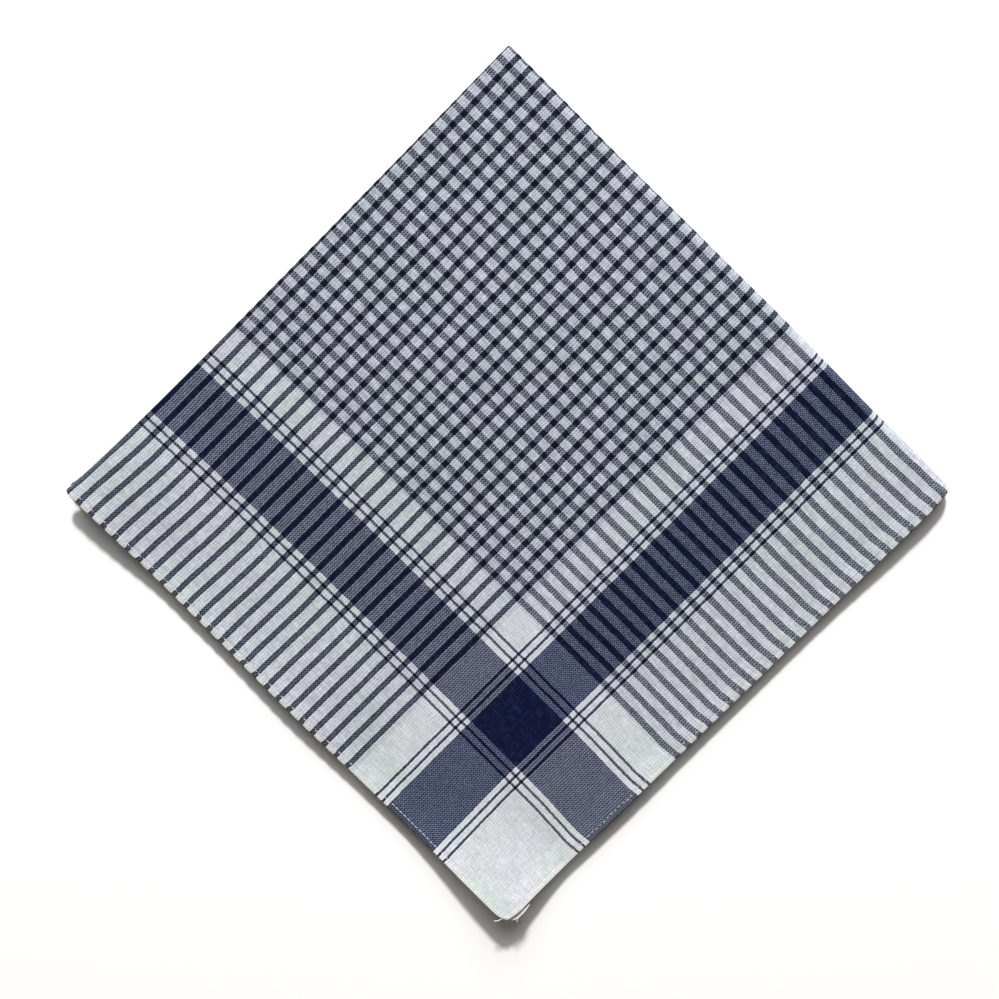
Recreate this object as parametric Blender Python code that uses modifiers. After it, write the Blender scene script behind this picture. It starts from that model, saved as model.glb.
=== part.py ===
"""A square cotton handkerchief, folded once each way into a quarter and laid flat.

The cloth starts as its flat cut square, a grid whose rows and columns are set closer at the
two folds and at the hems. Each point is then taken to its place in the folded quarter, and the
sheet is given its thickness. Metres, +Z up, the underside at z = 0.
"""

import math

import bpy
from mathutils import Matrix, Vector

MM = 0.001

# The cloth
FLAT = 400.0 * MM  # side of the square before it is folded
CLOTH = 1.0 * MM  # thickness
HEM = 1.2 * MM  # thickness of the rolled hem
HEM_WIDTH = 2.5 * MM
HEM_SLOPE = 2.0 * MM  # over which the hem's thickness fades into the cloth
GAP = 0.3 * MM  # between two layers

# From where a layer leaves a fold to its hem's edge: half the flat side, less the half turn
PITCH = CLOTH + GAP
RUN_FIRST = (FLAT - math.pi * PITCH / 2) / 2
RUN_SECOND = (FLAT - math.pi * PITCH) / 2

# Rows of the grid
BAYS = 15  # equal bays from a fold to its hem
FIRST_FOLD_TURNS = 6
SECOND_FOLD_TURNS = 8

# The four layers, top first: how much of the lift each takes, and how far its hems lie
# short of the top one's, across the first fold and across the second
LAYERS = (
    # lift share, short across first, short across second
    (1.00, 0.0 * MM, 0.0 * MM),
    (0.72, 0.5 * MM, 0.9 * MM),
    (0.36, 1.2 * MM, 0.6 * MM),
    (0.00, 0.8 * MM, 1.4 * MM),
)

# Where the cloth stands off the pile: shares of the run from the first and from the second
# fold, how high, and how far it reaches each way
LIFTS = (
    # from first, from second, height, reach across first, reach across second
    (1.00, 1.00, 6.3 * MM, 52 * MM, 30 * MM),
    (0.00, 1.00, 3.8 * MM, 46 * MM, 58 * MM),
    (1.00, 0.00, 1.7 * MM, 46 * MM, 60 * MM),
    (0.50, 1.00, 0.9 * MM, 36 * MM, 60 * MM),
    (1.00, 0.74, 0.6 * MM, 50 * MM, 40 * MM),
    (0.30, 0.34, 0.5 * MM, 60 * MM, 50 * MM),
    (0.72, 0.46, 0.4 * MM, 50 * MM, 60 * MM),
)

# The outline, off a true square
HEM_BOW = 1.1 * MM  # the hem that faces the second fold swells, more towards the free corner
HEM_BOW_SKEW = 1.4
HEM_OUT = 0.6 * MM  # the hem that faces the first fold stands out, but for its free corner
FOLD_BOW = 1.2 * MM  # the second fold swells, most of all nearer its hem
FOLD_BOW_SKEW = 2.0
FLARE = 0.5 * MM  # the first fold flares at its hem
CORNER_REACH = 6.0 * MM
FREE_CORNER_PULL = 0.8 * MM  # the rounding of the free corner, each way
FOLD_CORNER_PULL = 0.5 * MM  # and of the corner where the second fold meets its hem
SLIP = 1.7 * MM  # the second layer's free corner has slipped out by this much
DRAW_IN = 0.12  # how far a lifted hem draws in, as a share of its lift

COTTON_COLOUR = (0.33, 0.36, 0.45, 1.0)
COTTON_ROUGHNESS = 0.9


def clear_scene():
    for obj in list(bpy.data.objects):
        bpy.data.objects.remove(obj, do_unlink=True)


def cotton():
    material = bpy.data.materials.new("woven cotton")
    material.use_nodes = True
    shader = material.node_tree.nodes["Principled BSDF"]
    shader.inputs["Base Color"].default_value = COTTON_COLOUR
    shader.inputs["Roughness"].default_value = COTTON_ROUGHNESS
    return material


def rows_over_fold(full_run, turns):
    """Rows from the upper hem round the fold to the lower hem, as (run from the fold, turn)."""
    last_bay = full_run - HEM_WIDTH - HEM_SLOPE
    runs = [last_bay * bay / BAYS for bay in range(BAYS + 1)]
    runs += [full_run - HEM_WIDTH, full_run]
    upper = [(run, 0.0) for run in reversed(runs)]
    round_fold = [(0.0, math.pi * turn / turns) for turn in range(1, turns)]
    lower = [(run, math.pi) for run in runs]
    return upper + round_fold + lower


def swell(distance, reach):
    """1 at no distance, falling smoothly to 0 at the reach."""
    share = min(abs(distance) / reach, 1.0)
    return math.cos(share * math.pi / 2) ** 2


def near(distance):
    """1 at a corner, falling evenly to 0 at the corners' reach."""
    return max(0.0, 1 - distance / CORNER_REACH)


def lift(across_first, across_second):
    """How far the top layer stands off the pile here."""
    return sum(
        height * swell(across_first - first * RUN_FIRST, reach_first)
        * swell(across_second - second * RUN_SECOND, reach_second)
        for first, second, height, reach_first, reach_second in LIFTS
    )


def thickness(across_first, across_second):
    nearest_hem = min(RUN_FIRST - across_first, RUN_SECOND - across_second)
    return HEM if nearest_hem < HEM_WIDTH + HEM_SLOPE / 2 else CLOTH


def layer_heights(across_first, across_second):
    """Heights of the middles of the four layers, top first."""
    thick = thickness(across_first, across_second)
    rise = lift(across_first, across_second)
    below = len(LAYERS) - 1
    return [
        thick / 2 + (thick + GAP) * (below - place) + share * rise
        for place, (share, _, _) in enumerate(LAYERS)
    ]


def layer_shares(first_turn, second_turn):
    """How much this point belongs to each layer: one of them away from the folds."""
    turned = (1 - math.cos(first_turn)) / 2
    under = (1 - math.cos(second_turn)) / 2
    return (
        (1 - turned) * (1 - under),
        turned * (1 - under),
        turned * under,
        (1 - turned) * under,
    )


def outline(across_first, across_second, shares):
    """Where this point lies across each fold, with the outline's small departures."""
    first, second = across_first / RUN_FIRST, across_second / RUN_SECOND
    to_hem_first, to_hem_second = RUN_FIRST - across_first, RUN_SECOND - across_second
    short_first = sum(share * layer[1] for share, layer in zip(shares, LAYERS))
    short_second = sum(share * layer[2] for share, layer in zip(shares, LAYERS))
    free_pull = FREE_CORNER_PULL * near(to_hem_first + to_hem_second)
    fold_pull = FOLD_CORNER_PULL * near(to_hem_first + across_second)
    slip = SLIP * shares[1] * first ** 4 * second ** 10
    out = HEM_OUT * first ** 2 * (1 - second ** 6)
    flare = FLARE * near(across_first + to_hem_second)
    drawn = DRAW_IN * lift(across_first, across_second) * shares[0] * first ** 4
    bow = HEM_BOW * math.sin(math.pi * first ** HEM_BOW_SKEW) * second ** 2
    fold_bow = FOLD_BOW * math.sin(math.pi * first ** FOLD_BOW_SKEW) * (1 - second) ** 2
    return (
        across_first - short_first * first + out + slip - drawn - flare - free_pull - fold_pull,
        across_second - short_second * second + bow - fold_bow - free_pull + fold_pull,
    )


def folded(first_row, second_row):
    """Takes a point of the flat square to its place in the folded quarter."""
    (run_first, first_turn), (run_second, second_turn) = first_row, second_row
    top, second, third, bottom = layer_heights(run_first, run_second)
    upper, lower = (top + second) / 2, (third + bottom) / 2
    upper_half, lower_half = (top - second) / 2, (third - bottom) / 2
    half = upper_half + (lower_half - upper_half) * second_turn / math.pi
    radius = (upper - lower) / 2 + half * math.cos(first_turn)
    shares = layer_shares(first_turn, second_turn)
    across_first, across_second = outline(run_first, run_second, shares)
    return Vector((
        across_first - half * math.sin(first_turn),
        -across_second + radius * math.sin(second_turn),
        (upper + lower) / 2 + radius * math.cos(second_turn),
    ))


def flat_square(columns, rows):
    """The flat cut square, one unit a side, with a line for each column and row."""
    bpy.ops.mesh.primitive_grid_add(
        x_subdivisions=columns - 1, y_subdivisions=rows - 1, size=1.0
    )
    return bpy.context.object


def centre_on_origin(obj):
    """Moves the finished solid so that the middle of its box lies over the origin."""
    graph = bpy.context.evaluated_depsgraph_get()
    corners = [Vector(corner) for corner in obj.evaluated_get(graph).bound_box]
    middle = (corners[0] + corners[6]) / 2
    obj.data.transform(Matrix.Translation((-middle.x, -middle.y, 0.0)))


def make_handkerchief(collection):
    first_rows = rows_over_fold(RUN_FIRST, FIRST_FOLD_TURNS)
    second_rows = rows_over_fold(RUN_SECOND, SECOND_FOLD_TURNS)
    obj = flat_square(len(first_rows), len(second_rows))
    obj.name = "handkerchief"
    obj.data.name = "handkerchief"
    by_thickness = obj.vertex_groups.new(name="thickness")
    for vertex in obj.data.vertices:
        column = round((vertex.co.x + 0.5) * (len(first_rows) - 1))
        row = round((vertex.co.y + 0.5) * (len(second_rows) - 1))
        vertex.co = folded(first_rows[column], second_rows[row])
        thick = thickness(first_rows[column][0], second_rows[row][0])
        by_thickness.add([vertex.index], thick / HEM, "REPLACE")
    solidify = obj.modifiers.new("thickness", "SOLIDIFY")
    solidify.thickness = HEM
    solidify.offset = 0.0
    solidify.use_even_offset = True
    solidify.use_quality_normals = True
    solidify.vertex_group = by_thickness.name
    obj.data.materials.append(cotton())
    obj.data.shade_smooth()
    for owner in obj.users_collection:
        owner.objects.unlink(obj)
    collection.objects.link(obj)
    bpy.context.view_layer.update()
    centre_on_origin(obj)
    return obj


def main():
    clear_scene()
    collection = bpy.data.collections.new("folded handkerchief")
    bpy.context.scene.collection.children.link(collection)
    make_handkerchief(collection)


main()
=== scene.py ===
import math

import bmesh
import bpy
from mathutils import Matrix, Vector, noise


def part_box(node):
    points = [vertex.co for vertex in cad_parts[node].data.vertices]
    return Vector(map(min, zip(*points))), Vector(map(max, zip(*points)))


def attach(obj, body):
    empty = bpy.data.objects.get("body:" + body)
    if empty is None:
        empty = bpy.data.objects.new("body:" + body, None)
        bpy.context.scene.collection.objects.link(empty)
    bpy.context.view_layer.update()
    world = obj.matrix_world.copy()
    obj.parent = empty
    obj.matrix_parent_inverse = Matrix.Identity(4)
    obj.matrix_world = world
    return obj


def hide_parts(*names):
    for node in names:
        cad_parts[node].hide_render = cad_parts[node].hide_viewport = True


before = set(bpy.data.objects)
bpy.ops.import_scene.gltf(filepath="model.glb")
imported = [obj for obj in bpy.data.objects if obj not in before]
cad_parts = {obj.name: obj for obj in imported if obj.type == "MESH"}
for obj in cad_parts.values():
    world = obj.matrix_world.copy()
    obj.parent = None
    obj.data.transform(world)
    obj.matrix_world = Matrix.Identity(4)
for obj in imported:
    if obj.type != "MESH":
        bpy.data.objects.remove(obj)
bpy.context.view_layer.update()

MM = 0.001

# The cloth, as folded
# One square of plain-woven cotton, its hem rolled and sewn all round. It is folded in half and
# in half again and pressed, so it lies in four layers. Its hems are thicker than the cloth
# between them, and its corners stand up a little from the pile.

FLAT = 400.0  # side of the square, in mm, as all the sizes of this section are
CLOTH = 0.45  # its thickness, drawn a little over the real quarter of a millimetre
ROLL = 1.05  # thickness of the rolled hem, which is three layers of cloth
HEM_MIDDLE = 0.95  # from the hem's edge to the thickest of the roll
HEM_STITCH = 1.8  # and to its line of stitches
PILE = 4.9  # height of the four layers
HEM_PILE = 5.7  # and where their hems lie on each other
HEM_FADE = 6.0  # over which the pile sinks from its hems

# The folded shape, as in the solid
SOLID_PITCH = 1.3
FIRST_ARC = math.pi * SOLID_PITCH / 4  # half the cloth's way round the first fold
SECOND_ARC = math.pi * SOLID_PITCH / 2
RUN_FIRST = FLAT / 2 - FIRST_ARC  # from where a layer leaves a fold to its hem's edge
RUN_SECOND = FLAT / 2 - SECOND_ARC
LAYERS = (
    # place in the pile, lift share, short across first, short across second
    (1.00, 1.00, 0.0, 0.0),
    (0.74, 0.94, 0.5, 0.9),
    (0.35, 0.40, 1.2, 0.6),
    (0.00, 0.00, 0.8, 1.4),
)
LIFTS = (
    # from first, from second, height, reach across first, reach across second
    (1.00, 1.00, 6.3, 52, 30),
    (0.00, 1.00, 3.8, 46, 58),
    (1.00, 0.00, 1.7, 46, 60),
    (0.50, 1.00, 0.9, 36, 60),
    (1.00, 0.74, 0.6, 50, 40),
    (0.30, 0.34, 0.5, 60, 50),
    (0.72, 0.46, 0.4, 50, 60),
)
HEM_BOW, HEM_BOW_SKEW = 1.1, 1.4
HEM_OUT = 0.6
FOLD_BOW, FOLD_BOW_SKEW = 1.2, 2.0
FLARE = 0.5
CORNER_REACH = 6.0
FREE_CORNER_PULL, FREE_CORNER_REACH = 1.1, 6.0
FOLD_CORNER_PULL = 0.5
SLIP, SLIP_REACH = 1.7, 10.0
DRAW_IN = 0.12
FIRST_FOLD_OUT = 0.18  # the thin cloth reaches as far round the first fold as the solid
FIRST_FOLD_IN = 0.35  # but for the middle of its length

# What pressing leaves: the height of each ripple and its length
PRESSED_UP = 0.26
BROAD_RIPPLE, BROAD_LENGTH = 0.26, 36
FINE_RIPPLE, FINE_LENGTH = 0.08, 13
PUCKER, PUCKER_LENGTH, PUCKER_REACH = 0.16, 3.6, 4.0  # along the stitches

# The navy stripes, where the yarns lie closer, stand out at the folds and lie in at the hems
PROUD_AT_FIRST_FOLD, PROUD_AT_SECOND_FOLD = 0.06, 0.09
IN_AT_FIRST_HEM, IN_AT_SECOND_HEM = 0.04, 0.1
CELL_RISE = 0.05  # the white cells of the second hem's roll puff up
CELL_REACH = 2.6  # how far from a hem's edge these end

# The pattern is counted in threads. Ends run along the second direction and lie side by side
# across the first, and picks cross them. Twelve ends or ten picks make a stripe and its gap.
END = 0.4368
PICK = 0.515
FIRST_WAY = 1.1  # the upper layer's way half round the first fold, as its threads lie there
SECOND_WAY = 2.9  # and half round the second, outside the other layers
END_CENTRE = -0.42  # the middle of the weave, off the first fold
PICK_CENTRE = -0.58  # and off the second
CROWDING = 0.00033  # the picks lie closer towards the hem: their way lost, per mm squared
ENDS_IN_STRIPE = 12
PICKS_IN_STRIPE = 10
LAST_END_STRIPE = 294
LAST_PICK_STRIPE = 254

# How far the threads lie off straight lines along the folds, in mm. A value named LOST is how
# much less an end is pulled beside the first hem than at the fold, or a pick by the second.
END_LEAN, END_LEAN_TURN = 1.6, 0.62  # the ends lean, and come part of the way back
LEAN_AT_FOLD, LEAN_LOST = 1.12, 0.6  # as shares of the lean
END_BEND_FROM, END_BEND, END_BEND_LOST = 0.85, 1.6, 2.6  # they bend before the second hem
END_BEND_AT_FOLD, END_BEND_REACH = 0.45, 4  # with this share of the bend at the first fold
FOLD_SAG, FOLD_SAG_REACH = 0.45, 4  # and bow out a little along that fold
END_DRAW = 0.5  # the first hem draws them on, less so near the second
PICK_SAG = 2.4  # the picks sag between fold and hem, most of all by the second hem
PICK_SKEW = 1.9  # and slope at the second fold
PICK_BEND_FROM, PICK_BEND, PICK_BEND_LOST = 0.87, 1.2, 2.3  # they bend before the first hem
PICK_BEND_AT_FOLD, PICK_BEND_REACH = 0.4, 6  # with this share of the bend at the second fold
PICK_DRAW, PICK_DRAW_REACH = 0.7, 7  # and that hem draws them on
SLEW, SLEW_LENGTH, SLEW_REACH = 0.6, 5.3, 0.9  # the rolled second hem slews the ends


def swell(distance, reach):
    """1 at no distance, falling smoothly to 0 at the reach."""
    return math.cos(min(abs(distance) / reach, 1.0) * math.pi / 2) ** 2


def near(distance):
    """1 at a corner, falling to 0 at the corners' reach."""
    return max(0.0, 1 - distance / CORNER_REACH)


def smooth(share):
    share = min(max(share, 0.0), 1.0)
    return share * share * (3 - 2 * share)


def lift(first, second):
    """How far the top layer stands off the pile."""
    return sum(
        height * swell(first - along_first * RUN_FIRST, reach_first)
        * swell(second - along_second * RUN_SECOND, reach_second)
        for along_first, along_second, height, reach_first, reach_second in LIFTS
    )


def thickness(first, second):
    """The cloth's thickness: the roll of the hem, drawn in at its stitches."""
    to_hem = min(RUN_FIRST - first, RUN_SECOND - second)
    roll = max(0.0, 1 - ((to_hem - HEM_MIDDLE) / (HEM_STITCH - HEM_MIDDLE)) ** 2) ** 0.5
    return CLOTH + (ROLL - CLOTH) * roll


def ripple(first, second):
    """The unevenness that pressing leaves, and the pucker along the stitches."""
    broad = BROAD_RIPPLE * noise.noise(Vector((first / BROAD_LENGTH, second / BROAD_LENGTH, 0.3)))
    fine = FINE_RIPPLE * noise.noise(Vector((first / FINE_LENGTH, second / FINE_LENGTH, 7.1)))
    pucker = sum(
        PUCKER * noise.noise(Vector((along / PUCKER_LENGTH, place, 0.0)))
        * math.exp(-(((to_hem - HEM_STITCH) / PUCKER_REACH) ** 2))
        for along, place, to_hem in (
            (first, 3.2, RUN_SECOND - second),
            (second, 9.4, RUN_FIRST - first),
        )
    )
    return PRESSED_UP + broad + fine + pucker


def layer_heights(first, second):
    """Heights of the middles of the four layers, top first."""
    thick = thickness(first, second)
    to_hem = min(RUN_FIRST - first, RUN_SECOND - second)
    pile = HEM_PILE - (HEM_PILE - PILE) * smooth((to_hem - HEM_STITCH) / HEM_FADE)
    rise = lift(first, second) + ripple(first, second)
    return [
        thick / 2 + (pile - thick) * place + share * rise for place, share, _, _ in LAYERS
    ]


def from_fold(line, way_round):
    """How far a line of the grid lies from a fold, along the cloth, less than 0 behind it. The
    cloth is creased, so its threads are not spread evenly round the fold."""
    run, turn = line
    turned = min(turn, math.pi - turn)
    round_fold = (turned * 2 / math.pi + math.sin(turned)) / 2
    return math.copysign(run + way_round * (1 - round_fold), math.cos(turn))


def threads(first_line, second_line):
    """The count of ends and of picks from the middle of the weave to this point. The cloth was
    not folded quite along its threads, which also bend towards the hems."""
    first = from_fold(first_line, FIRST_WAY)
    second = from_fold(second_line, SECOND_WAY)
    along_first, along_second = abs(first) / (FLAT / 2), abs(second) / (FLAT / 2)
    end_bend = (
        smooth((along_second - END_BEND_FROM) / (1 - END_BEND_FROM))
        * (END_BEND - END_BEND_LOST * along_first)
        * (END_BEND_AT_FOLD + (1 - END_BEND_AT_FOLD) * smooth(abs(first) / END_BEND_REACH))
    )
    fold_sag = FOLD_SAG * math.exp(-abs(first) / FOLD_SAG_REACH) * math.sin(math.pi * along_second)
    ends_pulled = (
        END_LEAN * math.sin(math.pi * along_second * END_LEAN_TURN)
        * (LEAN_AT_FOLD - LEAN_LOST * along_first)
        - end_bend - fold_sag - END_DRAW * along_first * (1 - along_second ** 4)
    )
    pick_bend = (
        smooth((along_first - PICK_BEND_FROM) / (1 - PICK_BEND_FROM))
        * (PICK_BEND - PICK_BEND_LOST * along_second)
        * (PICK_BEND_AT_FOLD + (1 - PICK_BEND_AT_FOLD) * smooth(abs(second) / PICK_BEND_REACH))
    )
    picks_pulled = (
        PICK_SAG * along_second ** 2 * (2 * along_first - 1) ** 2
        - PICK_SKEW * (along_first - 0.5) * (1 - along_second)
        - pick_bend - PICK_DRAW * smooth(1 - (RUN_FIRST - first_line[0]) / PICK_DRAW_REACH)
    )
    rolled = smooth((HEM_STITCH - RUN_SECOND + second_line[0]) / SLEW_REACH)
    slewed = rolled * SLEW * noise.noise(Vector((first / SLEW_LENGTH, 2.6, 0.0)))
    ends = (first - END_CENTRE - ends_pulled - slewed) / END
    pick_way = second - PICK_CENTRE - picks_pulled
    crowded = (1 - math.sqrt(1 - 4 * CROWDING * abs(pick_way))) / (2 * CROWDING)
    return ends, math.copysign(crowded, pick_way) / PICK


def layer_shares(first_turn, second_turn):
    """How much this point belongs to each layer: one of them away from the folds."""
    turned = (1 - math.cos(first_turn)) / 2
    under = (1 - math.cos(second_turn)) / 2
    return (
        (1 - turned) * (1 - under),
        turned * (1 - under),
        turned * under,
        (1 - turned) * under,
    )


def outline(run_first, run_second, shares):
    """Where this point lies across each fold, with the outline's small departures."""
    first, second = run_first / RUN_FIRST, run_second / RUN_SECOND
    to_hem_first, to_hem_second = RUN_FIRST - run_first, RUN_SECOND - run_second
    short_first = sum(share * layer[2] for share, layer in zip(shares, LAYERS))
    short_second = sum(share * layer[3] for share, layer in zip(shares, LAYERS))
    to_corner = to_hem_first + to_hem_second
    free_pull = FREE_CORNER_PULL * max(0.0, 1 - to_corner / FREE_CORNER_REACH) ** 2
    fold_pull = FOLD_CORNER_PULL * near(to_hem_first + run_second)
    slip = SLIP * shares[1] * first ** 4 * smooth(2 * (1 - to_hem_second / SLIP_REACH))
    out = HEM_OUT * first ** 2 * (1 - second ** 6)
    flare = FLARE * near(run_first + to_hem_second)
    drawn = DRAW_IN * lift(run_first, run_second) * shares[0] * first ** 4
    bow = HEM_BOW * math.sin(math.pi * first ** HEM_BOW_SKEW) * second ** 2
    fold_bow = FOLD_BOW * math.sin(math.pi * first ** FOLD_BOW_SKEW) * (1 - second) ** 2
    return (
        run_first - short_first * first + out + slip - drawn - flare - free_pull - fold_pull,
        run_second - short_second * second + bow - fold_bow - free_pull + fold_pull,
    )


def stripe_wave(count, in_stripe, last):
    """1 in the middle of a dark stripe, -1 between two, and 0 beyond the last stripe."""
    return math.cos(2 * math.pi * count / in_stripe) if abs(count) < last else 0.0


def folded(first_line, second_line):
    """Takes a point of the flat square to its place in the folded quarter."""
    (run_first, first_turn), (run_second, second_turn) = first_line, second_line
    top, second, third, bottom = layer_heights(run_first, run_second)
    upper, lower = (top + second) / 2, (third + bottom) / 2
    upper_half, lower_half = (top - second) / 2, (third - bottom) / 2
    half = upper_half + (lower_half - upper_half) * second_turn / math.pi
    radius = (upper - lower) / 2 + half * math.cos(first_turn)
    across_first, across_second = outline(
        run_first, run_second, layer_shares(first_turn, second_turn)
    )
    ends, picks = threads(first_line, second_line)
    end_wave = stripe_wave(ends, ENDS_IN_STRIPE, LAST_END_STRIPE)
    pick_wave = stripe_wave(picks, PICKS_IN_STRIPE, LAST_PICK_STRIPE)
    in_first_hem = smooth(1 - (RUN_FIRST - run_first) / CELL_REACH)
    in_second_hem = smooth(1 - (RUN_SECOND - run_second) / CELL_REACH)
    across_first -= IN_AT_FIRST_HEM * pick_wave * in_first_hem
    across_second -= IN_AT_SECOND_HEM * end_wave * in_second_hem
    bulge = FIRST_FOLD_OUT - FIRST_FOLD_IN * math.sin(math.pi * run_second / RUN_SECOND)
    round_first = half + bulge + PROUD_AT_FIRST_FOLD * pick_wave
    round_second = radius + PROUD_AT_SECOND_FOLD * end_wave
    height = (upper + lower) / 2 + radius * math.cos(second_turn)
    return Vector((
        across_first - round_first * math.sin(first_turn),
        -across_second + round_second * math.sin(second_turn),
        height + CELL_RISE * (1 - end_wave) * in_second_hem,
    ))


def lines_over_fold(full_run, fine_runs, bay, turns):
    """Lines from the lower hem round the fold to the upper one, as (run from the fold, turn).
    The upper layer has the fine runs, and the lower one, mostly hidden, wide bays."""
    hem_runs = [full_run - to_hem for to_hem in HEM_LINES]
    last = hem_runs[0] - CLEAR_OF_HEM
    wide_runs = [bay * place for place in range(int(last / bay) + 1)]
    between = [run for run in fine_runs if CLEAR_OF_FOLD < run < last]
    lower = [(run, math.pi) for run in wide_runs + hem_runs]
    round_fold = [(0.0, math.pi * turn / turns) for turn in range(turns - 1, 0, -1)]
    upper = [(run, 0.0) for run in [0.0] + between + hem_runs]
    return lower[::-1] + round_fold + upper


# The lines of the grid: close together at the hems, and four to a stripe up to them. More
# are counted out than the cloth takes.
HEM_LINES = (4.4, 3.2, 2.4, 1.9, 1.65, 1.35, 1.0, 0.65, 0.35, 0.12, 0.0)
CLEAR_OF_FOLD, CLEAR_OF_HEM = 0.4, 1.0
LINES_IN_STRIPE = 4
MOST_LINES = 180
WIDE_BAY = 5.4
FIRST_FOLD_TURNS, SECOND_FOLD_TURNS = 8, 10
end_runs = [
    END_CENTRE - FIRST_WAY + END * ENDS_IN_STRIPE / LINES_IN_STRIPE * place
    for place in range(MOST_LINES)
]
pick_ways = [PICK * PICKS_IN_STRIPE / LINES_IN_STRIPE * place for place in range(MOST_LINES)]
pick_runs = [way - CROWDING * way ** 2 + PICK_CENTRE - SECOND_WAY for way in pick_ways]
first_lines = lines_over_fold(RUN_FIRST, end_runs, WIDE_BAY, FIRST_FOLD_TURNS)
second_lines = lines_over_fold(RUN_SECOND, pick_runs, WIDE_BAY, SECOND_FOLD_TURNS)

weave = bmesh.new()
bmesh.ops.create_grid(
    weave, x_segments=len(first_lines) - 1, y_segments=len(second_lines) - 1, size=0.5
)
thread_map = weave.loops.layers.uv.new("threads")
thickness_layer = weave.verts.layers.deform.verify()
to_first_hem = weave.verts.layers.float.new("to_first_hem")
to_second_hem = weave.verts.layers.float.new("to_second_hem")
counts = {}
for vertex in weave.verts:
    first_line = first_lines[round((vertex.co.x + 0.5) * (len(first_lines) - 1))]
    second_line = second_lines[-1 - round((vertex.co.y + 0.5) * (len(second_lines) - 1))]
    counts[vertex] = threads(first_line, second_line)
    vertex.co = folded(first_line, second_line) * MM
    vertex[thickness_layer][0] = thickness(first_line[0], second_line[0]) / ROLL
    vertex[to_first_hem] = RUN_FIRST - first_line[0]
    vertex[to_second_hem] = RUN_SECOND - second_line[0]
for face in weave.faces:
    face.smooth = True
    for loop in face.loops:
        loop[thread_map].uv = counts[loop.vert]
mesh = bpy.data.meshes.new("cloth")
weave.to_mesh(mesh)
weave.free()
cloth = bpy.data.objects.new("cloth", mesh)
bpy.context.scene.collection.objects.link(cloth)
cloth.vertex_groups.new(name="thickness")
solidify = cloth.modifiers.new("thickness", "SOLIDIFY")
solidify.thickness = ROLL * MM
solidify.offset = 0.0
solidify.use_even_offset = True
solidify.use_quality_normals = True
solidify.vertex_group = "thickness"

# The middle of its box lies over the solid's
bpy.context.view_layer.update()
graph = bpy.context.evaluated_depsgraph_get()
corners = [Vector(corner) for corner in cloth.evaluated_get(graph).bound_box]
solid_low, solid_high = (Vector(corner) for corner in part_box("handkerchief"))
to_place = (solid_low + solid_high - corners[0] - corners[6]) / 2
to_place.z = 0.0
mesh.transform(Matrix.Translation(to_place))


def linear(colour):
    """An sRGB hex colour as the linear one that Blender takes."""
    shares = [int(colour[place:place + 2], 16) / 255 for place in (1, 3, 5)]
    return tuple(
        share / 12.92 if share <= 0.04045 else ((share + 0.055) / 1.055) ** 2.4
        for share in shares
    ) + (1.0,)


def add(tree, kind, *given, **named):
    """Adds a node. Its inputs are given in their order or by name, as a value, a socket or a
    node to link. The names in small letters are its settings."""
    made = tree.nodes.new("ShaderNode" + kind)
    for name, value in named.items():
        if name[0].islower():
            setattr(made, name, value)
    wanted = list(zip([socket for socket in made.inputs if socket.enabled], given))
    wanted += [(made.inputs[name], value) for name, value in named.items() if name[0].isupper()]
    for socket, value in wanted:
        if isinstance(value, bpy.types.Node):
            value = next(output for output in value.outputs if output.enabled)
        if isinstance(value, bpy.types.NodeSocket):
            tree.links.new(value, socket)
        else:
            socket.default_value = value
    return made


# Yarn-dyed plain-woven cotton: matt, ribbed along its ends, which were drawn in pairs, with
# pale ticks where a white yarn crosses a navy one. The threads lie 0.44 mm by 0.52 mm apart,
# as the ribs in the photograph do. The real ones may be finer, but the render shows no finer.
cotton = bpy.data.materials.new("yarn-dyed cotton, plain woven")
cotton.use_nodes = True
tree = cotton.node_tree
shader = tree.nodes["Principled BSDF"]
shader.inputs["Roughness"].default_value = 0.9
shader.inputs["Specular IOR Level"].default_value = 0.1
shader.inputs["Sheen Weight"].default_value = 0.02
shader.inputs["Sheen Roughness"].default_value = 0.5

# The count of threads at each point. The yarns wander by up to half a thread, over long
# stretches and from one crossing to the next.
count = add(tree, "UVMap", uv_map="threads")
wandered = count
for stretch, reach in ((22.0, 0.8), (2.4, 0.9)):
    wander = add(tree, "TexNoise", count, Scale=1 / stretch, Detail=1.0)
    sideways = add(
        tree, "VectorMath", wander.outputs["Color"], (0.5, 0.5, 0.5), operation="SUBTRACT")
    wandered = add(
        tree, "VectorMath", sideways, (reach, reach, 0.0), wandered, operation="MULTIPLY_ADD")
each = add(tree, "SeparateXYZ", wandered)
across_ends, across_picks = each.outputs[0], each.outputs[1]
end_number = add(tree, "Math", across_ends, operation="FLOOR")
pick_number = add(tree, "Math", across_picks, operation="FLOOR")


def crown(across, spacing):
    """1 along the middle of each thread or group of threads, and 0 between two."""
    turned = add(tree, "Math", across, math.pi / spacing, operation="MULTIPLY")
    wave = add(tree, "Math", turned, operation="SINE")
    return add(tree, "Math", wave, operation="ABSOLUTE")


def aslant(way):
    """A wave across both sets of threads, 1 or -1 on every second crossing."""
    turned = add(tree, "Math", way, math.pi, operation="MULTIPLY")
    return add(tree, "Math", turned, operation="COSINE")


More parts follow.
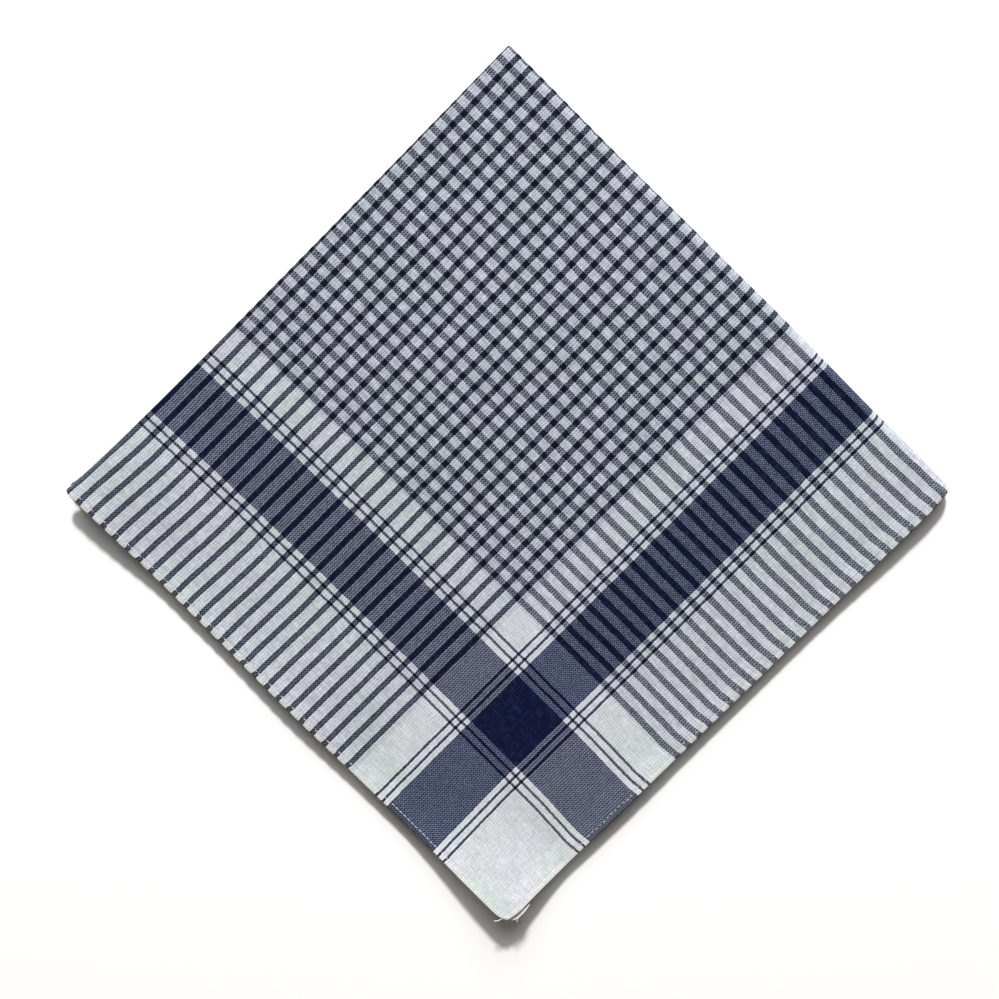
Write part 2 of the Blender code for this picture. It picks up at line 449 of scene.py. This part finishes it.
# Over and under: in a plain weave an end is up on every second pick. The twist of the yarns
# draws these floats out along one slant more than along the other. A pair of ends stands up
# as one rib.
FLOAT, TWIST, PICK_CROWN = 0.33, -0.4, 0.8
CHANGE_OVER = 0.3  # the height over which one yarn gives way to the other
one_slant = aslant(add(tree, "Math", across_ends, across_picks, operation="SUBTRACT"))
other_slant = aslant(add(tree, "Math", across_ends, across_picks, operation="ADD"))
drawn = add(tree, "Math", other_slant, FLOAT * (TWIST - 1) / 2, operation="MULTIPLY")
up = add(tree, "Math", one_slant, FLOAT * (TWIST + 1) / 2, drawn, operation="MULTIPLY_ADD")
rib = crown(across_ends, 2)
end_height = add(tree, "Math", rib, up, operation="ADD")
pick_crown = add(tree, "Math", crown(across_picks, 1), PICK_CROWN, operation="MULTIPLY")
pick_height = add(tree, "Math", pick_crown, up, operation="SUBTRACT")
above = add(tree, "Math", end_height, pick_height, operation="SUBTRACT")
end_on_top = add(tree, "MapRange", above, -CHANGE_OVER, CHANGE_OVER, 0.0, 1.0)
relief = add(tree, "Math", end_height, pick_height, operation="MAXIMUM")

NAVY_SPREAD = 0.18  # how far a navy yarn's fibres reach over its neighbour, in threads


def dark_threads(across, in_stripe, last_stripe, solids):
    """1 on a navy thread, of which each stripe has four and which fill the lines and the broad
    band, then 1 on the lines alone, then 1 where the cloth is striped at all."""
    out = add(tree, "Math", across, operation="ABSOLUTE")
    from_stripe = add(tree, "Math", out, in_stripe / 2, operation="PINGPONG")
    in_stripes = add(tree, "Math", from_stripe, 2 + NAVY_SPREAD, operation="LESS_THAN")
    striped = add(tree, "Math", out, last_stripe, operation="LESS_THAN")
    navy = add(tree, "Math", in_stripes, striped, operation="MULTIPLY")
    lines = 0.0
    for first_thread, last_thread in solids:
        middle = (first_thread + last_thread) / 2
        half = (last_thread - first_thread) / 2 + NAVY_SPREAD
        solid = add(tree, "Math", out, middle, half, operation="COMPARE")
        navy = add(tree, "Math", navy, solid, operation="MAXIMUM")
        if last_thread - first_thread < in_stripe:
            lines = add(tree, "Math", lines, solid, operation="MAXIMUM")
    return navy, lines, striped


# The two threads of a line lie close together
navy_end, end_lines, striped_ends = dark_threads(
    across_ends, ENDS_IN_STRIPE, LAST_END_STRIPE,
    ((318.25, 319.75), (324.25, 325.75), (330, 378), (382.25, 383.75), (388.25, 389.75)),
)
navy_pick, pick_lines, striped_picks = dark_threads(
    across_picks, PICKS_IN_STRIPE, LAST_PICK_STRIPE,
    ((276.25, 277.75), (282.25, 283.75), (288, 334), (338.25, 339.75), (344.25, 345.75)),
)
striped = add(tree, "Math", striped_ends, striped_picks, operation="ADD")
among_stripes = add(tree, "Math", striped, 0.5, operation="MULTIPLY")


def yarn(own, other, **colours):
    """The colour of the yarn on top. Its fibres let through some of the one that it crosses.
    Each colour is given as in the bands and as in the stripes, where the yarns lie looser."""
    (own_navy, own_striped), (other_navy, other_striped) = own, other
    shown = {}
    for name, share in (("white", among_stripes), ("white_over_navy", other_striped),
                        ("navy", own_striped), ("navy_over_navy", among_stripes)):
        in_bands, in_stripes = colours[name]
        shown[name] = add(tree, "Mix", share, linear(in_bands), linear(in_stripes),
                          data_type="RGBA")
    pale = add(tree, "Mix", other_navy, shown["white"], shown["white_over_navy"],
               data_type="RGBA")
    dark = add(tree, "Mix", other_navy, shown["navy"], shown["navy_over_navy"],
               data_type="RGBA")
    return add(tree, "Mix", own_navy, pale, dark, data_type="RGBA")


end, pick = (navy_end, striped_ends), (navy_pick, striped_picks)
end_colour = yarn(
    end, pick, white=("#cfd2d5", "#b5bac2"), white_over_navy=("#74788b", "#828593"),
    navy=("#1c2240", "#1d1e2a"), navy_over_navy=("#0a133a", "#0d1026"),
)
pick_colour = yarn(
    pick, end, white=("#c3c6c8", "#a7acb7"), white_over_navy=("#778196", "#787f90"),
    navy=("#0e1222", "#0f121c"), navy_over_navy=("#060b26", "#090c14"),
)
woven = add(tree, "Mix", end_on_top, pick_colour, end_colour, data_type="RGBA")
any_navy = add(tree, "Math", navy_end, navy_pick, operation="MAXIMUM")

# Each yarn is uneven along its length, thick here and thin there, and the gap between two
# ribs is darkened with painted shade, the more so where one of the yarns is navy
SLUB = 0.11  # a slub is some nine threads long
NEXT_YARN = 0.9  # and the next yarn has its slubs elsewhere
END_SLUB, PICK_SLUB = 0.1, 0.11  # how much brighter or darker it is
NOISE_LOW, NOISE_HIGH = 0.3, 0.7  # the noise seldom leaves these
WHITE_FLECK, NAVY_FLECK = 0.1, 0.42
# painted shade: how much darker the gap between two ribs is drawn, on white and on navy
WHITE_GAP_SHADE, NAVY_GAP_SHADE = -0.18, -0.46
GAP_SHARPNESS = 2.5
end_place = add(
    tree, "CombineXYZ", add(tree, "Math", end_number, NEXT_YARN, operation="MULTIPLY"),
    add(tree, "Math", across_picks, SLUB, operation="MULTIPLY"), 0.0)
pick_place = add(
    tree, "CombineXYZ", add(tree, "Math", across_ends, SLUB, operation="MULTIPLY"),
    add(tree, "Math", pick_number, NEXT_YARN, operation="MULTIPLY"), 4.7)
end_slub = add(tree, "MapRange", add(tree, "TexNoise", end_place, Scale=1.0, Detail=2.0),
               NOISE_LOW, NOISE_HIGH, 1 - END_SLUB, 1 + END_SLUB)
pick_slub = add(tree, "MapRange", add(tree, "TexNoise", pick_place, Scale=1.0, Detail=2.0),
                NOISE_LOW, NOISE_HIGH, 1 - PICK_SLUB, 1 + PICK_SLUB)
slub = add(tree, "Math", end_slub, pick_slub, operation="MULTIPLY")
crossing_number = add(tree, "CombineXYZ", end_number, pick_number)
fleck = add(tree, "TexWhiteNoise", crossing_number, noise_dimensions="2D")
fleck_depth = add(tree, "MapRange", any_navy, 0.0, 1.0, WHITE_FLECK, NAVY_FLECK)
off_middle = add(tree, "Math", fleck, 0.5, operation="SUBTRACT")
flecked = add(tree, "Math", off_middle, fleck_depth, 1.0, operation="MULTIPLY_ADD")
# Painted shade between the ribs, deepest midway between two
between = add(tree, "Math", 1.0, rib, operation="SUBTRACT")
gap_shade = add(tree, "Math", between, GAP_SHARPNESS, operation="POWER")
gap_shade_depth = add(tree, "MapRange", any_navy, 0.0, 1.0, WHITE_GAP_SHADE, NAVY_GAP_SHADE)
rib_gap_shaded = add(tree, "Math", gap_shade, gap_shade_depth, 1.0, operation="MULTIPLY_ADD")
# the slubs and flecks, with the painted shade of the gaps between ribs
uneven = add(tree, "Math", slub, add(tree, "Math", flecked, rib_gap_shaded, operation="MULTIPLY"),
             operation="MULTIPLY")
STRIPES_DEPTH = 1.8  # the looser yarns of the stripes show it more
depth = add(tree, "MapRange", among_stripes, 0.0, 1.0, 1.0, STRIPES_DEPTH)
departure = add(tree, "Math", uneven, 1.0, operation="SUBTRACT")
deepened = add(tree, "Math", departure, depth, 1.0, operation="MULTIPLY_ADD")
any_line = add(tree, "Math", end_lines, pick_lines, operation="MAXIMUM")
LINE_SHADE = 0.75  # the threads of the thin lines are packed, and darker for it
packed = add(tree, "MapRange", any_line, 0.0, 1.0, 1.0, LINE_SHADE)
brightness = add(tree, "Math", deepened, packed, operation="MULTIPLY")
shaded = add(tree, "VectorMath", woven, Scale=brightness, operation="SCALE")

# Pale lint of the white yarn clings to the navy one, most of all where that is thick
MOST_LINT = 0.2
lint = add(tree, "MapRange", slub, 1.0, 1.2, 0.0, MOST_LINT)
lint_share = add(tree, "Math", lint, any_navy, operation="MULTIPLY")
linted = add(tree, "Mix", lint_share, shaded, linear("#4a5068"), data_type="RGBA")

# Broad patches that lean to blue or to a greenish grey
PATCH = 26.3 * MM
tint = add(tree, "TexNoise", add(tree, "TexCoord").outputs["Object"], Scale=1 / PATCH, Detail=2.0)
tint_share = add(tree, "MapRange", tint, 0.38, 0.62, 0.0, 1.0)
tints = add(tree, "Mix", tint_share, (0.96, 1.0, 0.985, 1.0), (1.01, 0.995, 1.04, 1.0),
            data_type="RGBA")
tinted = add(tree, "Mix", 1.0, linted, tints, data_type="RGBA", blend_type="MULTIPLY")

# The rolled hems, three layers thick, let less light through: white looks paler, navy darker
ROLL_ENDS, ROLL_FULL = 2.4, 1.5  # mm from the hem's edge
in_roll = add(tree, "Mix", any_navy, (1.2, 1.17, 1.11, 1.0), (0.9, 0.9, 0.9, 1.0),
              data_type="RGBA")
for name in ("to_first_hem", "to_second_hem"):
    to_hem = add(tree, "Attribute", attribute_name=name).outputs["Fac"]
    hem_share = add(tree, "MapRange", to_hem, ROLL_ENDS, ROLL_FULL, 0.0, 1.0)
    rolled = add(tree, "Mix", hem_share, (1.0, 1.0, 1.0, 1.0), in_roll, data_type="RGBA")
    tinted = add(tree, "Mix", 1.0, tinted, rolled, data_type="RGBA", blend_type="MULTIPLY")
tree.links.new(tinted.outputs[2], shader.inputs["Base Color"])

SLUB_RISE = 0.8
YARN_RISE = 0.14 * MM
rise = add(tree, "Math", slub, SLUB_RISE, relief, operation="MULTIPLY_ADD")
bump = add(tree, "Bump", Strength=0.5, Distance=YARN_RISE, Height=rise)
tree.links.new(bump.outputs[0], shader.inputs["Normal"])
mesh.materials.append(cotton)

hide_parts("handkerchief")
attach(cloth, "root")

# The stitches of the hem
# The roll is held by one line of white sewing thread, just under 2 mm in from the edge. Each
# stitch shows as a short raised dash on both faces of the cloth, sunk a little at its ends.
# The line wavers along the first hem.

STITCH_STEP = 1.75
STITCH_LENGTH = 1.4
STITCH_WIDTH = 0.3
STITCH_HEIGHT = 0.2
FIRST_STITCH = 0.9  # from the fold
SUNK_UNEVEN, UNEVEN_LENGTH = 0.06, 1.7  # the length in stitches
STRAY_LENGTH = 1.3
HEMS = (
    # along the first direction, how deep the thread lies, how far a stitch strays, noise row
    (True, 0.01, 0.2, 0.9),
    (False, 0.065, 0.8, 5.85),
)
stitches = bmesh.new()


def point_on(first, second, under):
    """A point on the upper face of the top layer, or on the underside of the bottom one."""
    side = math.pi if under else 0.0
    middle = folded((first, 0.0), (second, side))
    away = -0.5 if under else 0.5
    return (middle + Vector((0.0, 0.0, away * thickness(first, second)))) * MM + to_place


for under in (False, True):
    for along_first, hem_sunk, hem_stray, row in HEMS:
        length = (RUN_FIRST if along_first else RUN_SECOND) - HEM_STITCH
        line = (RUN_SECOND if along_first else RUN_FIRST) - HEM_STITCH
        for place in range(int(length / STITCH_STEP)):
            start = place * STITCH_STEP + FIRST_STITCH
            uneven = SUNK_UNEVEN * noise.noise(Vector((place / UNEVEN_LENGTH, row, 0.0)))
            sunk = hem_sunk + uneven
            sunk_down = Vector((0.0, 0.0, sunk if under else -sunk)) * MM
            stitch_ends = []
            for way in (start, start + STITCH_LENGTH):
                stray = hem_stray * noise.noise(Vector((way / STRAY_LENGTH, 5.2, 0.0)))
                on_cloth = (way, line - stray) if along_first else (line - stray, way)
                stitch_ends.append(point_on(*on_cloth, under) + sunk_down)
            tail, head = stitch_ends
            along = (head - tail).normalized()
            beside = along.cross(Vector((0.0, 0.0, 1.0))).normalized()
            turned = Matrix((along, beside, along.cross(beside))).transposed().to_4x4()
            bmesh.ops.create_uvsphere(
                stitches, u_segments=6, v_segments=5, radius=0.5,
                matrix=Matrix.Translation((tail + head) / 2) @ turned
                @ Matrix.Diagonal((STITCH_LENGTH * MM, STITCH_WIDTH * MM, STITCH_HEIGHT * MM, 1))
                @ Matrix.Rotation(math.pi / 2, 4, "Y"),
            )
for face in stitches.faces:
    face.smooth = True
bmesh.ops.recalc_face_normals(stitches, faces=stitches.faces)
mesh = bpy.data.meshes.new("hem-stitches")
stitches.to_mesh(mesh)
stitches.free()
hem_stitches = bpy.data.objects.new("hem-stitches", mesh)
bpy.context.scene.collection.objects.link(hem_stitches)

# White sewing cotton: two plies twisted together, so it is ribbed aslant, and a little brighter
# and smoother than the cloth. Its colour is darker in the grooves between the plies: painted
# shade.
sewing = bpy.data.materials.new("white sewing cotton, twisted")
sewing.use_nodes = True
tree = sewing.node_tree
shader = tree.nodes["Principled BSDF"]
shader.inputs["Roughness"].default_value = 0.7
shader.inputs["Sheen Weight"].default_value = 0.1
PLY = 0.35  # length of one turn of a ply, in mm
WAVE = 0.31  # about how many metres a wave takes at a scale of 1
ply = add(
    tree, "TexWave", add(tree, "TexCoord").outputs["Object"], Scale=WAVE / (PLY * MM),
    Distortion=1.5, Detail=1.0, bands_direction="DIAGONAL",
)
# The darker colour falls where the wave is low, in the grooves between the plies: painted shade
groove_shaded_ply_colour = add(tree, "Mix", ply.outputs["Fac"], linear("#c6cacf"), linear("#e2e4e6"),
                 data_type="RGBA")
tree.links.new(groove_shaded_ply_colour.outputs[2], shader.inputs["Base Color"])
bump = add(tree, "Bump", Strength=0.4, Distance=0.05 * MM, Height=ply.outputs["Fac"])
tree.links.new(bump.outputs[0], shader.inputs["Normal"])
mesh.materials.append(sewing)

# Loose ends of the sewing thread
# The hem's sewing thread starts and ends at the free corner, where its tails were snipped a
# few millimetres long. One sticks out beside the tip and two lie along the second layer.
up_in_photo = Vector((-1.0, 1.0, 0.0)).normalized()
right_in_photo = Vector((1.0, 1.0, 0.0)).normalized()
overhead = Vector((0.0, 0.0, 1.0))
TAIL_RADIUS = 0.19
TIP_INSET = 0.6  # from the corner of the hems' edges to the rounded tip
TAILS = (
    # mm right, up and above the tip of the free corner, from the root of each tail to its end
    ((-0.6, 0.6, -0.4), (-1.9, -0.4, -0.5), (-3.0, -0.9, -0.7), (-4.0, -0.8, -0.6)),
    ((7.6, 4.4, -1.6), (6.0, 2.2, -0.7), (4.2, 0.6, -0.6), (2.6, -0.5, -0.9)),
    ((6.2, 2.6, -1.2), (4.6, 0.7, -0.7), (3.4, -0.2, -0.7), (3.6, -1.2, -1.0)),
)
tip = point_on(RUN_FIRST - TIP_INSET, RUN_SECOND - TIP_INSET, False)
tail_curve = bpy.data.curves.new("loose-ends", "CURVE")
tail_curve.dimensions = "3D"
tail_curve.bevel_depth = TAIL_RADIUS * MM
tail_curve.bevel_resolution = 1
tail_curve.use_fill_caps = True
for tail in TAILS:
    spline = tail_curve.splines.new("NURBS")
    spline.points.add(len(tail) - 1)
    spline.use_endpoint_u = True
    spline.order_u = 3
    spline.resolution_u = 5
    for point, (right, up_way, above_tip) in zip(spline.points, tail):
        place = tip + (right * right_in_photo + up_way * up_in_photo + above_tip * overhead) * MM
        point.co = (*place, 1.0)
tails = bpy.data.objects.new("tails", tail_curve)
bpy.context.scene.collection.objects.link(tails)
bpy.context.view_layer.update()
graph = bpy.context.evaluated_depsgraph_get()
mesh = bpy.data.meshes.new_from_object(tails.evaluated_get(graph))
bpy.data.objects.remove(tails)
loose_ends = bpy.data.objects.new("loose-ends", mesh)
bpy.context.scene.collection.objects.link(loose_ends)
mesh.materials.append(sewing)

for piece in (hem_stitches, loose_ends):
    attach(piece, "root")

# The floor
# A wide, plain, almost white surface, as in a product photograph. It isn't part of the object.
FLOOR_SIDE = 6.0
FLOOR_DROP = 0.1 * MM
ground = bmesh.new()
bmesh.ops.create_grid(
    ground, x_segments=1, y_segments=1, size=FLOOR_SIDE / 2,
    matrix=Matrix.Translation((0.0, 0.0, -FLOOR_DROP)),
)
mesh = bpy.data.meshes.new("floor")
ground.to_mesh(mesh)
ground.free()
floor = bpy.data.objects.new("floor", mesh)
bpy.context.scene.collection.objects.link(floor)
paper = bpy.data.materials.new("matt white paper")
paper.use_nodes = True
paper.node_tree.nodes["Principled BSDF"].inputs["Base Color"].default_value = linear("#fefefe")
paper.node_tree.nodes["Principled BSDF"].inputs["Roughness"].default_value = 0.9
mesh.materials.append(paper)

# The light and the camera
# A small soft lamp stands before a wide pale window, beyond the top corner and half way up the
# sky, so the shadows fall towards the free corner, dark at the cloth and fading outwards. The
# room gives a weak, slightly warm light from all sides.
LIGHT_ELEVATION = 42.5
LIGHT_AWAY = 3.0
lean = math.radians(LIGHT_ELEVATION)
to_light = up_in_photo * math.cos(lean) + overhead * math.sin(lean)
for name, side, power in (("lamp", 0.3, 92.0), ("window", 2.4, 50.0)):
    light_data = bpy.data.lights.new(name, "AREA")
    light_data.shape = "DISK"
    light_data.size = side
    light_data.energy = power
    light = bpy.data.objects.new(name, light_data)
    light.location = to_light * LIGHT_AWAY
    light.rotation_euler = to_light.to_track_quat("Z", "Y").to_euler()
    bpy.context.scene.collection.objects.link(light)

world = bpy.data.worlds.new("room")
world.use_nodes = True
room = world.node_tree.nodes["Background"]
room.inputs["Color"].default_value = linear("#fff6e6")
room.inputs["Strength"].default_value = 0.1
bpy.context.scene.world = world
bpy.context.scene.view_settings.view_transform = "Standard"

CAMERA_AWAY = 600 * MM
CAMERA_LEAN = math.radians(5.2)  # off upright, towards the top corner
CAMERA_LENS = 67.03  # mm, on a sensor 36 mm wide
CAMERA_CLIP = 10 * MM
CLOTH_MIDDLE = Vector((0.0, 0.0, 4.7 * MM))
AIM_LEFT, AIM_DOWN = 2.74 * MM, 2.84 * MM
place = CLOTH_MIDDLE + CAMERA_AWAY * (
    up_in_photo * math.sin(CAMERA_LEAN) + overhead * math.cos(CAMERA_LEAN)
)
aim = CLOTH_MIDDLE - right_in_photo * AIM_LEFT - up_in_photo * AIM_DOWN
back = (place - aim).normalized()
side = up_in_photo.cross(back).normalized()
turned = Matrix((side, back.cross(side), back)).transposed()
camera_data = bpy.data.cameras.new("camera")
camera_data.lens = CAMERA_LENS
camera_data.clip_start = CAMERA_CLIP
camera = bpy.data.objects.new("camera", camera_data)
camera.matrix_world = Matrix.Translation(place) @ turned.to_4x4()
bpy.context.scene.collection.objects.link(camera)
bpy.context.scene.camera = camera
